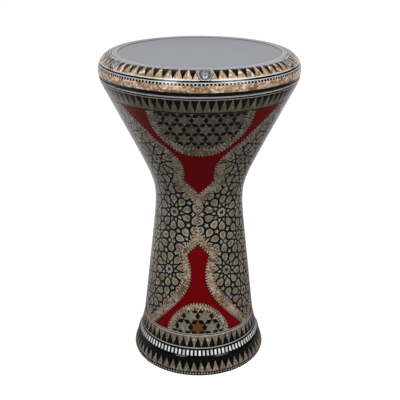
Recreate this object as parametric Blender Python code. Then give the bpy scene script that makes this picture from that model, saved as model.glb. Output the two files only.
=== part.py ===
# Goblet drum: a cast aluminium body and tuning ring under shell inlay,
# with a film head, its hoop and six socket screws. Metres, +Z up.
import math

import bmesh
import bpy
from mathutils import Matrix, Vector

# Overall sizes
drum_height = 0.4475
ring_radius = 0.1352
foot_radius = 0.0978
columns = 42

# Inlay skin and clearances
inlay = 0.0016
gap = 0.0003
skin_depth = inlay + gap

# Body outline: a lower cone, a bowl cone and a soft bend between them
base_height = 0.058
base_radius = 0.0816
lower_slope = 0.1145
bend_height = 0.2606
bend_length = 0.0130
wall = 0.0045

# Heights measured down from the top of the drum
ring_low = 0.0280
collar_low = 0.0300
collar_inset = 0.0009
bowl_line = 0.0505
bowl_line_inset = 0.0095
field_top_drop = 0.0545

# Tuning ring
ring_round = 0.0213
ring_drop = 0.0003
ring_width = 0.0260
lip_thickness = 0.0007
seat_drop = 0.0057

# Head film, hoop and the bearing edge that they sit on
film_drop = 0.0019
film_thickness = 0.0003
neck_lap = 0.0017
neck_wall = 0.0039
film_room = 0.0014
hoop_width = 0.0056
hoop_clearance = 0.0004
hoop_height = 0.0080
slot_height = 0.0014
slot_depth = 0.0029

# Tuning screws, M6 with a socket head
screw_count = 6
screw_inset = 0.0100
screw_turn = 3.0
screw_radius = 0.0030
screw_length = 0.0248
head_radius = 0.0050
head_height = 0.0060
socket_width = 0.0050
socket_depth = 0.0030
bore_clearance = 0.0010
thread_clearance = 0.0003
head_top_drop = 0.0072
hole_depth = 0.0085

# Medallions round the screws
hex_reach = 0.0073
hex_half_width = 0.0106

# Flange that carries the threads, and the foot
flange_thickness = 0.0125
foot_wall = 0.0085
foot_edge_height = 0.0030
foot_line_top = 0.0065
flare_top = 0.0208
bead_top = 0.0282
key_top = 0.0364
flare_inset = 0.0055
bead_bulge = 0.0008
key_low_inset = 0.0078
key_top_inset = 0.0112

# Front panels, repeated round the body, as degrees from the panel's middle
panels = 3
seam = 59.85
outline_steps = 2
# Down from the field's top
ribbon_out_upper = (
    ((62, -0.004), (62, 0.005)),
    ((62, 0.005), (41.5, 0.042), (27.5, 0.069), (25.5, 0.090), (30, 0.1095)),
    ((30, 0.1095), (11, 0.132), (0, 0.1525)),
)
ribbon_in_upper = (
    ((53.5, -0.004), (53.5, 0.001)),
    ((53.5, 0.001), (33.5, 0.041), (20.5, 0.0625), (14.5, 0.0835), (16, 0.104)),
    ((16, 0.104), (5, 0.118), (0, 0.1255)),
)
medallion_upper = (
    ((33.5, -0.004), (33.5, 0.002)),
    ((33.5, 0.002), (31.8, 0.0305), (22, 0.0505), (9, 0.0615), (0, 0.063)),
)
# Up from the field's foot
ribbon_out_lower = (
    ((62, -0.004), (62, 0.004)),
    ((62, 0.004), (33, 0.051), (20.5, 0.0775), (19.8, 0.1023), (27.3, 0.1243)),
    ((27.3, 0.1243), (12, 0.1395), (0, 0.165)),
)
ribbon_in_lower = (
    ((51, -0.004), (51, 0.001)),
    ((51, 0.001), (23.4, 0.0435), (10.4, 0.0695), (7.3, 0.0955), (12.2, 0.120)),
    ((12.2, 0.120), (4.5, 0.129), (0, 0.1345)),
)
arch_lower = (
    ((35, -0.004), (35, 0.002)),
    ((35, 0.002), (32.6, 0.021), (18.2, 0.045), (0, 0.052)),
)

# Radii and levels that follow from the sizes
lip_radius = ring_radius - ring_width
neck_outer = lip_radius + neck_lap
hoop_inner = neck_outer + film_room
hoop_outer = hoop_inner + hoop_width
ring_bore = hoop_outer + hoop_clearance
screw_circle = ring_radius - screw_inset
ring_low_z = drum_height - ring_low
collar_z = drum_height - collar_low
bowl_line_z = drum_height - bowl_line
field_top = drum_height - field_top_drop
field_low = base_height
collar_radius = ring_radius - collar_inset
bowl_line_radius = ring_radius - bowl_line_inset
ring_centre = ring_radius - ring_round
ring_centre_z = drum_height - ring_drop - ring_round
film_z = drum_height - film_drop
seat_z = drum_height - seat_drop
hoop_top = seat_z - gap
head_top_z = drum_height - head_top_drop
head_low_z = head_top_z - head_height


def low_line(z):
    return base_radius - lower_slope * (z - base_height)


def bend(z):
    return bend_length * math.log1p(math.exp((z - bend_height) / bend_length))


def body_radius(z):
    rise = (bowl_line_radius - low_line(bowl_line_z)) / bend(bowl_line_z)
    return low_line(z) + rise * bend(z)


def collar_curve(t):
    """Point (radius, height) of the rounded collar, from the bowl's line up to its top."""
    z0, z2 = bowl_line_z, collar_z
    z1 = z2 - 0.2 * (z2 - z0)
    r = (1 - t) ** 2 * bowl_line_radius + (1 - (1 - t) ** 2) * collar_radius
    z = (1 - t) ** 2 * z0 + 2 * t * (1 - t) * z1 + t * t * z2
    return r, z


def outside(z):
    """Radius of the finished surface at a height, foot and collar included."""
    foot = (
        (0.0, foot_radius - 0.0010),
        (foot_edge_height, foot_radius),
        (foot_line_top, foot_radius - 0.0006),
        (flare_top, foot_radius - flare_inset),
        (0.5 * (flare_top + bead_top), foot_radius - 0.5 * (flare_inset + key_low_inset) + bead_bulge),
        (bead_top, foot_radius - key_low_inset),
        (key_top, foot_radius - key_top_inset),
        (base_height, base_radius),
    )
    if z <= base_height:
        for (z0, r0), (z1, r1) in zip(foot, foot[1:]):
            if z <= z1:
                return r0 + (r1 - r0) * (z - z0) / (z1 - z0)
    if z <= bowl_line_z:
        return body_radius(z)
    low, high = 0.0, 1.0
    for _ in range(30):
        t = 0.5 * (low + high)
        if collar_curve(t)[1] < z:
            low = t
        else:
            high = t
    return collar_curve(low)[0]


def inset(z, depth):
    """Radius of a surface that lies this deep under the finished one."""
    step = 0.0015
    slope = (outside(z + step) - outside(max(z - step, 0.0))) / (2 * step)
    slope = max(-1.0, min(1.0, slope))
    return outside(z) - depth * math.sqrt(1 + slope * slope)


def field_rows():
    """Heights of the body's rows, closer together where the outline bends."""
    return [field_low] + [bend_height + k for k in (-0.055, -0.028, -0.010, 0.007, 0.029, 0.062)] + [field_top]


def clear_scene():
    for thing in list(bpy.data.objects):
        bpy.data.objects.remove(thing, do_unlink=True)


def material(name, colour, roughness, metallic=0.0):
    made = bpy.data.materials.new(name)
    made.use_nodes = True
    shader = made.node_tree.nodes["Principled BSDF"]
    shader.inputs["Base Color"].default_value = (*colour, 1.0)
    shader.inputs["Roughness"].default_value = roughness
    shader.inputs["Metallic"].default_value = metallic
    return made


def finish(name, mesh_data, look):
    """Turn a bmesh into a named object with shading set."""
    bmesh.ops.remove_doubles(mesh_data, verts=mesh_data.verts, dist=1e-7)
    bmesh.ops.recalc_face_normals(mesh_data, faces=mesh_data.faces)
    mesh = bpy.data.meshes.new(name)
    mesh_data.to_mesh(mesh)
    mesh_data.free()
    mesh.shade_smooth()
    mesh.set_sharp_from_angle(angle=math.radians(35))
    made = bpy.data.objects.new(name, mesh)
    bpy.context.collection.objects.link(made)
    if look is not None:
        mesh.materials.append(look)
    return made


def azimuths(first=None, last=None):
    """Degrees of the columns that all the turned pieces share, all round or between two ends."""
    pitch = 360.0 / columns
    if first is None:
        return [pitch * (k + 0.5) for k in range(columns)]
    inside = [pitch * (k + 0.5) for k in range(-2 * columns, 2 * columns)]
    return [first] + [a for a in inside if first + 0.4 < a < last - 0.4] + [last]


def swept(name, outline, turns, look, whole=True, centre=(0.0, 0.0)):
    """A solid from a closed outline of (radius, height) points, repeated at each azimuth."""
    work = bmesh.new()
    rings = []
    poles = {}
    for turn in turns:
        across, ahead = math.sin(math.radians(turn)), -math.cos(math.radians(turn))
        ring = []
        for place, (r, z) in enumerate(outline):
            if r > 0.0 or place not in poles:
                poles[place] = work.verts.new((r * across, r * ahead, z))
            ring.append(poles[place])
        rings.append(ring)
    count = len(outline)
    neighbours = zip(rings, rings[1:] + rings[:1]) if whole else zip(rings, rings[1:])
    for here, there in neighbours:
        for k in range(count):
            corners = [here[k], here[(k + 1) % count], there[(k + 1) % count], there[k]]
            different = [v for place, v in enumerate(corners) if v not in corners[:place]]
            if len(different) > 2:
                work.faces.new(different)
    if not whole:
        work.faces.new(rings[0])
        work.faces.new(list(reversed(rings[-1])))
    made = finish(name, work, look)
    made.location = (centre[0], centre[1], 0.0)
    return made


def band(name, low, high, look, rows=(), first=None, last=None):
    """A skin between two heights, as deep as the inlay."""
    heights = [low] + [z for z in rows if low < z < high] + [high]
    outer = [(outside(z), z) for z in heights]
    inner = [(inset(z, inlay), z) for z in reversed(heights)]
    return swept(name, outer + inner, azimuths(first, last), look, whole=first is None)


def ring_point(degrees, depth):
    """Point on the tuning ring's round, counted in degrees from its crest outwards."""
    turn = math.radians(degrees)
    reach = ring_round - depth
    return ring_centre + reach * math.sin(turn), ring_centre_z + reach * math.cos(turn)


def ring_band(name, low, high, look, count=2, first=None, last=None):
    """A skin on the ring's round between two angles from its crest."""
    turns = [low + (high - low) * k / count for k in range(count + 1)]
    outer = [ring_point(t, 0.0) for t in turns]
    inner = [ring_point(t, inlay) for t in reversed(turns)]
    return swept(name, outer + inner, azimuths(first, last), look, whole=first is None)


def smooth(points, steps=outline_steps):
    """Points of a Catmull-Rom curve through a stretch of an outline."""
    if len(points) < 3:
        return list(points[:-1])
    ends = [points[0]] + list(points) + [points[-1]]
    found = []
    for a, b, c, d in zip(ends, ends[1:], ends[2:], ends[3:]):
        for k in range(steps):
            t = k / steps
            found.append(tuple(
                0.5 * (2 * q + (s - p) * t + (2 * p - 5 * q + 4 * s - u) * t * t + (3 * q - p - 3 * s + u) * t ** 3)
                for p, q, s, u in zip(a, b, c, d)
            ))
    return found


def panel_outline(stretches, level, direction):
    """Closed outline seen from the front, as (x, z), from half an outline in degrees and heights."""
    half = []
    for stretch in stretches:
        half += smooth(stretch)
    half.append(stretches[-1][-1])
    right = []
    for degrees, rise in half:
        z = level + direction * rise
        right.append((outside(z) * math.sin(math.radians(degrees)), z))
    left = [(-x, z) for x, z in reversed(right[:-1])]
    return right + left


def grown(points, distance):
    """An outline moved outwards by a distance, or inwards by a negative one."""
    area = sum(a[0] * b[1] - b[0] * a[1] for a, b in zip(points, points[1:] + points[:1]))
    side = distance if area > 0 else -distance
    moved = []
    for before, here, after in zip(points[-1:] + points[:-1], points, points[1:] + points[:1]):
        ahead = Vector((after[0] - here[0], after[1] - here[1])).normalized()
        back = Vector((here[0] - before[0], here[1] - before[1])).normalized()
        across = Vector((ahead.y + back.y, -ahead.x - back.x)).normalized()
        lean = max(0.4, across.dot(Vector((ahead.y, -ahead.x))))
        moved.append((here[0] + across.x * side / lean, here[1] + across.y * side / lean))
    return moved


def as_cutter(made):
    made.hide_render = True
    made.hide_set(True)
    made.display_type = "WIRE"
    return made


def prism(name, outline, turn):
    """A cutter that reaches from the axis outwards, with an outline seen from the front."""
    work = bmesh.new()
    reach = 1.6 * ring_radius
    near = [work.verts.new((x, -0.004, z)) for x, z in outline]
    far = [work.verts.new((x, -reach, z)) for x, z in outline]
    work.faces.new(near)
    work.faces.new(list(reversed(far)))
    count = len(near)
    for k in range(count):
        work.faces.new((near[k], near[(k + 1) % count], far[(k + 1) % count], far[k]))
    made = finish(name, work, None)
    made.rotation_euler = (0.0, 0.0, math.radians(turn))
    return as_cutter(made)


def cut(target, cutter, operation="DIFFERENCE"):
    step = target.modifiers.new("cut", "BOOLEAN")
    step.operation = operation
    step.object = cutter
    step.solver = "EXACT"


def around(number):
    """Place and turn of one of the screws."""
    turn = screw_turn + 360.0 * number / screw_count
    return screw_circle * math.sin(math.radians(turn)), -screw_circle * math.cos(math.radians(turn)), turn


def joined_cutter(name, build):
    """One cutter made of a solid at every screw."""
    work = bmesh.new()
    for number in range(screw_count):
        x, y, turn = around(number)
        place = Matrix.Translation((x, y, 0.0)) @ Matrix.Rotation(math.radians(turn), 4, "Z")
        build(work, place)
    return as_cutter(finish(name, work, None))


def add_post(work, place, radius, low, high, sides):
    shift = place @ Matrix.Translation((0.0, 0.0, 0.5 * (low + high)))
    bmesh.ops.create_cone(work, cap_ends=True, segments=sides, radius1=radius, radius2=radius, depth=high - low,
                          matrix=shift)


def add_hexagon(work, place, grow, low, high):
    """A six-sided post with flats across the radius."""
    wide, reach = hex_half_width + grow * 1.15, hex_reach + grow
    corners = ((wide, 0.0), (0.5 * wide, reach), (-0.5 * wide, reach), (-wide, 0.0), (-0.5 * wide, -reach),
               (0.5 * wide, -reach))
    bottom = [work.verts.new(place @ Vector((x, y, low))) for x, y in corners]
    top = [work.verts.new(place @ Vector((x, y, high))) for x, y in corners]
    work.faces.new(list(reversed(bottom)))
    work.faces.new(top)
    for k in range(6):
        work.faces.new((bottom[k], bottom[(k + 1) % 6], top[(k + 1) % 6], top[k]))


clear_scene()

aluminium = material("cast_aluminium", (0.52, 0.52, 0.53), 0.42, 1.0)
lacquered = material("lacquered_ring", (0.02, 0.02, 0.022), 0.18, 0.0)
steel = material("steel_screw", (0.45, 0.45, 0.46), 0.30, 1.0)
film_look = material("grey_film", (0.36, 0.37, 0.42), 0.55)
hoop_look = material("hoop_aluminium", (0.62, 0.62, 0.63), 0.35, 1.0)
pearl = material("pearl_and_black", (0.30, 0.24, 0.18), 0.20)
dark = material("black_lacquer", (0.012, 0.012, 0.014), 0.15)
red = material("red_lacquer", (0.16, 0.001, 0.004), 0.12)
brown_pearl = material("brown_pearl", (0.40, 0.29, 0.19), 0.20)
lattice = material("lattice_pearl", (0.22, 0.20, 0.17), 0.22)

# Body casting
rows = field_rows()
neck_inner = neck_outer - neck_wall
film_low = film_z - film_thickness
edge_z = film_low - gap
collar_mid = bowl_line_z + 0.55 * (collar_z - bowl_line_z)
outline = [(foot_radius - 0.0018, 0.0), (foot_radius - 0.0003, 0.0012), (foot_radius - 0.0003, foot_edge_height - gap),
           (inset(foot_edge_height, skin_depth), foot_edge_height - gap)]
outer_rows = [foot_edge_height, flare_top, bead_top, key_top] + rows + [bowl_line_z, collar_mid, collar_z]
outline += [(inset(z, skin_depth), z) for z in outer_rows]
outline += [(neck_outer, collar_z), (neck_outer, edge_z - 0.0012), (neck_outer - 0.0011, edge_z),
            (neck_inner + 0.0008, edge_z), (neck_inner, edge_z - 0.0010)]
flange_low = collar_z - flange_thickness
outline += [(neck_inner, flange_low + 0.004), (inset(flange_low, 3.2 * wall), flange_low)]
inner_rows = [flange_low - 0.007] + [z for z in reversed(rows) if z < flange_low - 0.020] + [key_top]
outline += [(inset(z, skin_depth + wall), z) for z in inner_rows]
outline += [(foot_radius - foot_wall, foot_line_top), (foot_radius - foot_wall, 0.0)]
casting = swept("shell_casting", outline, azimuths(), aluminium)


def hole_posts(work, place):
    add_post(work, place, screw_radius + thread_clearance, collar_z - hole_depth, collar_z + 0.002, 16)


cut(casting, joined_cutter("thread_holes", hole_posts))

# Tuning ring
low_turn = math.degrees(math.acos((ring_low_z - ring_centre_z) / (ring_round - skin_depth)))
ring_turns = [low_turn * k / 7 for k in range(8)]
lip_z = film_z + gap
outline = [ring_point(t, skin_depth) for t in ring_turns]
outline += [(ring_bore, ring_low_z), (ring_bore, seat_z), (neck_outer + 0.0013, seat_z),
            (neck_outer + 0.0013, film_z - 0.0015), (lip_radius + 0.0012, lip_z), (lip_radius, lip_z),
            (lip_radius, lip_z + lip_thickness), (lip_radius + 0.0023, drum_height - ring_drop),
            (ring_centre, drum_height - ring_drop)]
ring = swept("tuning_ring", outline, azimuths(), lacquered)


def bore_posts(work, place):
    add_post(work, place, screw_radius + thread_clearance, ring_low_z - 0.004, head_low_z, 16)


def head_posts(work, place):
    add_post(work, place, head_radius + bore_clearance, head_low_z - gap, drum_height + 0.004, 16)


cut(ring, joined_cutter("screw_bores", bore_posts))
cut(ring, joined_cutter("head_bores", head_posts))

# Head film with its folded edge, and the hoop that holds it
skirt = neck_outer + 0.0005
slot_low = hoop_top - 0.5 * (hoop_height + slot_height)
tuck_z = slot_low + 0.5 * (slot_height - film_thickness)
tuck = hoop_inner + slot_depth - gap
outline = [(0.0, film_low), (neck_outer - 0.0010, film_low), (skirt, film_z - 0.0017), (skirt, tuck_z),
           (tuck, tuck_z), (tuck, tuck_z + film_thickness), (skirt + film_thickness, tuck_z + film_thickness),
           (skirt + film_thickness, film_z - 0.0016), (neck_outer - 0.0009, film_z), (0.0, film_z)]
swept("head_film", outline, azimuths(), film_look)
hoop_low = hoop_top - hoop_height
outline = [(hoop_inner, hoop_low), (hoop_outer, hoop_low), (hoop_outer, hoop_top), (hoop_inner, hoop_top),
           (hoop_inner, slot_low + slot_height), (hoop_inner + slot_depth, slot_low + slot_height),
           (hoop_inner + slot_depth, slot_low), (hoop_inner, slot_low)]
swept("flesh_hoop", outline, azimuths(), hoop_look)

# Screws, each on its own axis
screw_sides = 16
for number in range(screw_count):
    x, y, turn = around(number)
    tip = head_low_z - screw_length
    outline = [(0.0, tip), (screw_radius - 0.0006, tip), (screw_radius, tip + 0.0008), (screw_radius, head_low_z),
               (head_radius, head_low_z), (head_radius, head_top_z - 0.0005), (head_radius - 0.0005, head_top_z),
               (0.0, head_top_z)]
    sides = [360.0 * (k + 0.5) / screw_sides for k in range(screw_sides)]
    screw = swept(f"tuning_screw_{number + 1}", outline, sides, steel, centre=(x, y))
    work = bmesh.new()
    add_post(work, Matrix.Translation((x, y, 0.0)), socket_width / math.sqrt(3), head_top_z - socket_depth,
             head_top_z + 0.002, 6)
    cut(screw, as_cutter(finish(f"socket_{number + 1}", work, None)))

# Inlay on the tuning ring, where the hexagons fill the gaps between the arcs of triangles
band_in = math.degrees(math.asin((screw_circle - hex_reach - gap - ring_centre) / ring_round))
band_out = math.degrees(math.asin((screw_circle + hex_reach + gap - ring_centre) / ring_round))
step = math.degrees(gap / ring_round)
ring_band("rim_line_inlay", 1.0, band_in - step, dark, count=1)
ring_band("rim_dotted_border", band_out + step, 76.4, dark, count=1)
ring_band("rim_pearl_band", 76.4 + step, 106.8, brown_pearl)
narrow = math.degrees(0.5 * hex_half_width / screw_circle)
wide = math.degrees((hex_half_width + 0.003) / screw_circle)
for number in range(screw_count):
    x, y, turn = around(number)
    place = Matrix.Translation((x, y, 0.0)) @ Matrix.Rotation(math.radians(turn), 4, "Z")
    arc = ring_band(f"rim_triangle_inlay_{number + 1}", band_in, band_out, pearl, count=3, first=turn + narrow,
                    last=turn + 360.0 / screw_count - narrow)
    for side in (number, (number + 1) % screw_count):
        near_x, near_y, near_turn = around(side)
        work = bmesh.new()
        near = Matrix.Translation((near_x, near_y, 0.0)) @ Matrix.Rotation(math.radians(near_turn), 4, "Z")
        add_hexagon(work, near, gap, ring_centre_z - 0.004, drum_height + 0.004)
        cut(arc, as_cutter(finish(f"hexagon_seat_{number + 1}_{side + 1}", work, None)))
    plate = ring_band(f"rim_medallion_{number + 1}", band_in, band_out, dark, count=3, first=turn - wide,
                      last=turn + wide)
    work = bmesh.new()
    add_hexagon(work, place, 0.0, ring_centre_z - 0.004, drum_height + 0.004)
    cut(plate, as_cutter(finish(f"hexagon_{number + 1}", work, None)), "INTERSECT")
    work = bmesh.new()
    add_post(work, place, head_radius + bore_clearance, ring_centre_z - 0.004, drum_height + 0.004, 16)
    cut(plate, as_cutter(finish(f"hexagon_bore_{number + 1}", work, None)))

# Bands round the collar, bowl and foot
band("collar_triangle_inlay", bowl_line_z + gap, collar_z - gap, pearl, rows=[collar_mid])
band("bowl_line_inlay", field_top + gap, bowl_line_z, dark)
band("foot_triangle_inlay", key_top + gap, field_low - gap, pearl)
band("foot_key_inlay", bead_top + gap, key_top, brown_pearl)
band("foot_bead_moulding", flare_top + gap, bead_top, dark, rows=[0.5 * (flare_top + bead_top)])
band("foot_flare_inlay", foot_line_top + gap, flare_top, pearl)
band("foot_dotted_border", foot_edge_height, foot_line_top, dark)

# Panels on the field, each cut from a third of its skin
half_gap = 0.5 * gap
outlines = {
    "ribbon_upper": panel_outline(ribbon_out_upper, field_top, -1),
    "red_upper": panel_outline(ribbon_in_upper, field_top, -1),
    "medallion_upper": panel_outline(medallion_upper, field_top, -1),
    "ribbon_lower": panel_outline(ribbon_out_lower, field_low, 1),
    "red_lower": panel_outline(ribbon_in_lower, field_low, 1),
    "arch_lower": panel_outline(arch_lower, field_low, 1),
}
pieces = (
    ("upper_ribbon", "ribbon_upper", "red_upper", brown_pearl),
    ("upper_red_panel", "red_upper", "medallion_upper", red),
    ("upper_star_medallion", "medallion_upper", None, pearl),
    ("lower_ribbon", "ribbon_lower", "red_lower", brown_pearl),
    ("lower_red_panel", "red_lower", "arch_lower", red),
    ("lower_arch_medallion", "arch_lower", None, pearl),
)
third = 360.0 / panels
larger = {}
for number in range(panels):
    turn = third * number
    for key, points in outlines.items():
        larger[key, number] = prism(f"{key}_larger_{number + 1}", grown(points, half_gap), turn)
    for name, outside_key, inside_key, look in pieces:
        points = outlines[outside_key]
        low = max(field_low, min(z for x, z in points) - 0.001)
        high = min(field_top, max(z for x, z in points) + 0.001)
        skin = band(f"{name}_{number + 1}", low, high, look, rows=rows, first=turn - seam, last=turn + seam)
        cut(skin, prism(f"{name}_keep_{number + 1}", grown(points, -half_gap), turn), "INTERSECT")
        if inside_key:
            cut(skin, larger[inside_key, number])
for number in range(panels):
    turn = third * number
    field = band(f"rosette_field_{number + 1}", field_low, field_top, lattice, rows=rows,
                 first=turn + third / 2 - seam, last=turn + third / 2 + seam)
    for key in ("ribbon_upper", "ribbon_lower"):
        cut(field, larger[key, number])
        cut(field, larger[key, (number + 1) % panels])
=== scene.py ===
# Goblet drum with shell inlay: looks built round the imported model.
# Pattern sizes are in millimetres and degrees, and placing turns them into metres.
import math

import bpy
from mathutils import Matrix, Vector
from mathutils.geometry import delaunay_2d_cdt


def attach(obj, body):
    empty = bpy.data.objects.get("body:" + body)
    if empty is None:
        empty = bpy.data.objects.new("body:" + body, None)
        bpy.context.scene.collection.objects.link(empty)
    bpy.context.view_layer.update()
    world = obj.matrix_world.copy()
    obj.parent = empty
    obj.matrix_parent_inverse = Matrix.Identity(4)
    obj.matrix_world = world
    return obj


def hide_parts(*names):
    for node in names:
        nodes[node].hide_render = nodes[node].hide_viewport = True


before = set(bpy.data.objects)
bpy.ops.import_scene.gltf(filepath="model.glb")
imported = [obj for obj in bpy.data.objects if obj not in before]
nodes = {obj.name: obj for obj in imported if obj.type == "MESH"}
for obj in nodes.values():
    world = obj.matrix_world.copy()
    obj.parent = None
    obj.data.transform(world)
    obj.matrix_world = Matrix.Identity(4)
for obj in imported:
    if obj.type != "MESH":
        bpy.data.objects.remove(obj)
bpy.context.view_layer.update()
scene = bpy.context.scene
mm = 0.001
print("frame loaded:", len(nodes), "nodes")


# the turned outline that every inlay follows, in millimetres
body = {
    "footRadius": 97.8,
    "footEdge": 3.0,
    "footLineTop": 6.5,
    "flareTop": 20.8,
    "beadTop": 28.2,
    "keyTop": 36.4,
    "baseHeight": 58.0,
    "baseRadius": 81.6,
    "coneSlope": 0.1145,
    "bendHeight": 260.6,
    "bendLength": 13.0,
    "bowlLine": 397.0,
    "bowlRadius": 125.7,
    "collarTop": 417.5,
    "collarRadius": 134.3,
    "beadBulge": 0.9,
}
ring = {
    "round": 21.3,  # radius of the rounded edge
    "centre": 113.9,
    "centreHeight": 425.9,
    "lipRadius": 109.2,
    "bore": 118.3,
    "seat": 441.8,
    "low": 419.5,
    "screwCircle": 125.2,
    "screwTurn": 3.0,
    "boreRadius": 6.0,
    "headLow": 434.3,
    "shaftBore": 3.3,
}


twist = (  # height, and degrees that the hand-laid pattern is turned there
    (0.0, -0.8), (150.0, -0.6), (219.0, -1.2), (243.0, -0.7),
    (267.0, -0.3), (320.0, 0.2), (395.0, 1.0), (418.0, 1.0),
)


def twistAt(z):
    for (z0, t0), (z1, t1) in zip(twist, twist[1:]):
        if z <= z1:
            return t0 + (t1 - t0) * (z - z0) / (z1 - z0)
    return twist[-1][1]


def lowerCone(z):
    return body["baseRadius"] - body["coneSlope"] * (z - body["baseHeight"])


def bowlBend(z):
    return body["bendLength"] * math.log1p(math.exp((z - body["bendHeight"]) / body["bendLength"]))


bowlRise = (body["bowlRadius"] - lowerCone(body["bowlLine"])) / bowlBend(body["bowlLine"])


def outside(z):  # radius of the finished surface
    foot = body["footRadius"]
    if z <= body["baseHeight"]:
        bead = (z - body["flareTop"]) / (body["beadTop"] - body["flareTop"])
        if 0.0 < bead < 1.0:
            return foot - 5.5 - 2.3 * bead + body["beadBulge"] * math.sin(math.pi * bead)
        marks = (
            (0.0, foot - 1.0),
            (body["footEdge"], foot),
            (body["footLineTop"], foot - 0.6),
            (body["flareTop"], foot - 5.5),
            (body["beadTop"], foot - 7.8),
            (body["keyTop"], foot - 11.2),
            (body["baseHeight"], body["baseRadius"]),
        )
        for (z0, r0), (z1, r1) in zip(marks, marks[1:]):
            if z <= z1:
                return r0 + (r1 - r0) * (z - z0) / (z1 - z0)
    if z <= body["bowlLine"]:
        return lowerCone(z) + bowlRise * bowlBend(z)
    low, high = body["bowlLine"], body["collarTop"]
    middle = high - 0.2 * (high - low)
    a, b, c = low - 2 * middle + high, 2 * (middle - low), low - z
    t = (-b + math.sqrt(max(b * b - 4 * a * c, 0.0))) / (2 * a)
    return (1 - t) ** 2 * body["bowlRadius"] + (1 - (1 - t) ** 2) * body["collarRadius"]


stepHeight = 0.5
lengths = [0.0]  # length of the outline from the foot, one value a step
while (len(lengths) - 1) * stepHeight < body["collarTop"]:
    z = (len(lengths) - 1) * stepHeight
    rise = outside(min(z + stepHeight, body["collarTop"])) - outside(z)
    lengths.append(lengths[-1] + math.hypot(stepHeight, rise))


def lengthAt(z):
    place = max(0.0, min(z / stepHeight, len(lengths) - 1.001))
    k = int(place)
    return lengths[k] + (place - k) * (lengths[k + 1] - lengths[k])


def heightAt(length):
    low, high = 0, len(lengths) - 1
    while high - low > 1:
        middle = (low + high) // 2
        if lengths[middle] <= length:
            low = middle
        else:
            high = middle
    return stepHeight * (low + (length - lengths[low]) / (lengths[high] - lengths[low]))


def bodyPoint(a, z):
    turn = math.radians(a + twistAt(z))
    r = outside(z)
    return Vector((r * math.sin(turn), -r * math.cos(turn), z)) * mm


def bodyNormal(a, z, side):  # side leans the slope towards the face that asks
    turn = math.radians(a + twistAt(z))
    z0, z1 = z + 0.02 * side, z + 0.22 * side
    slope = (outside(z1) - outside(z0)) / (z1 - z0)
    return Vector((math.sin(turn), -math.cos(turn), -slope)).normalized()


def ringPoint(a, t):  # t counts degrees round the edge from its crest
    turn, lean = math.radians(a), math.radians(t)
    r = ring["centre"] + ring["round"] * math.sin(lean)
    z = ring["centreHeight"] + ring["round"] * math.cos(lean)
    return Vector((r * math.sin(turn), -r * math.cos(turn), z)) * mm


def ringNormal(a, t, side):
    turn, lean = math.radians(a), math.radians(t)
    return Vector((math.sin(lean) * math.sin(turn), -math.sin(lean) * math.cos(turn), math.cos(lean)))


# outlines and the plans that are cut into tiles
def smoothPath(points, steps=4):  # a curve through the points, each corner left sharp
    ends = [points[0]] + list(points) + [points[-1]]
    found = []
    for p, q, s, u in zip(ends, ends[1:], ends[2:], ends[3:]):
        for k in range(steps):
            t = k / steps
            found.append(tuple(
                0.5 * (2 * b + (c - a) * t + (2 * a - 5 * b + 4 * c - d) * t * t
                       + (3 * b - a - 3 * c + d) * t ** 3)
                for a, b, c, d in zip(p, q, s, u)
            ))
    found.append(tuple(points[-1]))
    return found


def finer(loop, step, scale):  # no side longer than a step, in millimetres
    found = []
    for (a0, h0), (a1, h1) in zip(loop, loop[1:] + loop[:1]):
        count = max(1, math.ceil(math.hypot((a1 - a0) * scale, h1 - h0) / step))
        found += [(a0 + (a1 - a0) * k / count, h0 + (h1 - h0) * k / count) for k in range(count)]
    return found


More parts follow.
